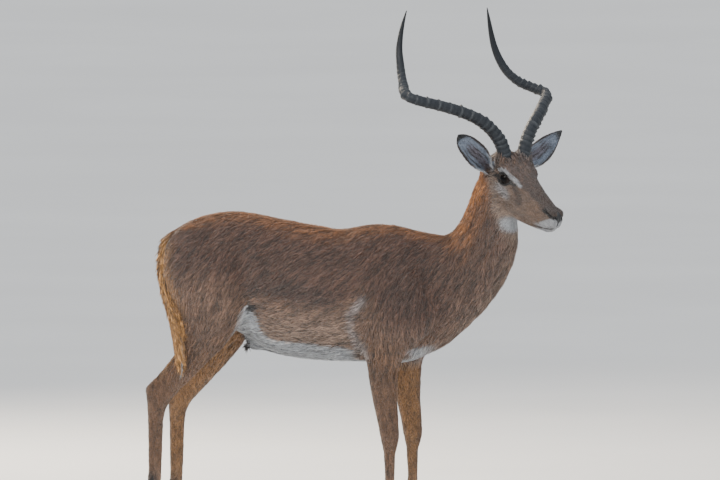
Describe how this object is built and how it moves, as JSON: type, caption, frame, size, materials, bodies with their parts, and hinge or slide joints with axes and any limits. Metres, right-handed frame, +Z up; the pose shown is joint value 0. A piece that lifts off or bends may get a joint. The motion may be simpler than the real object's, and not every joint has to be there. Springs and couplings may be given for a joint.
{
  "type": "standing impala ram model",
  "caption": "Adult male impala antelope standing square with its head turned to its right, long ringed lyre-shaped horns and raised ears, as a life-size museum model.",
  "frame": {"origin": "middle of the bounding box on the floor under the hooves", "axes": "+X towards the animal's front, +Y to its left, +Z up"},
  "size_m": [1.1676, 0.4692, 1.4558],
  "materials": {
    "coat_body": "short sleek reddish-brown hair, paler on the flanks and white on the belly",
    "coat_head": "very short brown hair with white round the eyes, chin and throat",
    "coat_legs": "short tan hair, white inside the legs, with black tufts above the hind feet",
    "coat_tail": "longer rust-coloured hair, white beneath, with a dark line",
    "coat_ears": "fine tan hair with black tips and white hair inside",
    "horn": "dark grey ringed horn, smooth at the tips",
    "eye": "wet dark brown eye",
    "hoof": "smooth black hoof"
  },
  "bodies": {
    "root": {"trunk": "coat_body", "neck": "coat_body", "head": "coat_head", "tail": "coat_tail", "foreleg_left": "coat_legs", "hindleg_left": "coat_legs", "ear_left": "coat_ears", "horn_left": "horn", "eye_left": "eye", "hoof_fore_left_inner": "hoof", "hoof_fore_left_outer": "hoof", "hoof_hind_left_inner": "hoof", "hoof_hind_left_outer": "hoof", "foreleg_right": "coat_legs", "hindleg_right": "coat_legs", "ear_right": "coat_ears", "horn_right": "horn", "eye_right": "eye", "hoof_fore_right_inner": "hoof", "hoof_fore_right_outer": "hoof", "hoof_hind_right_inner": "hoof", "hoof_hind_right_outer": "hoof"}
  },
  "joints": []
}
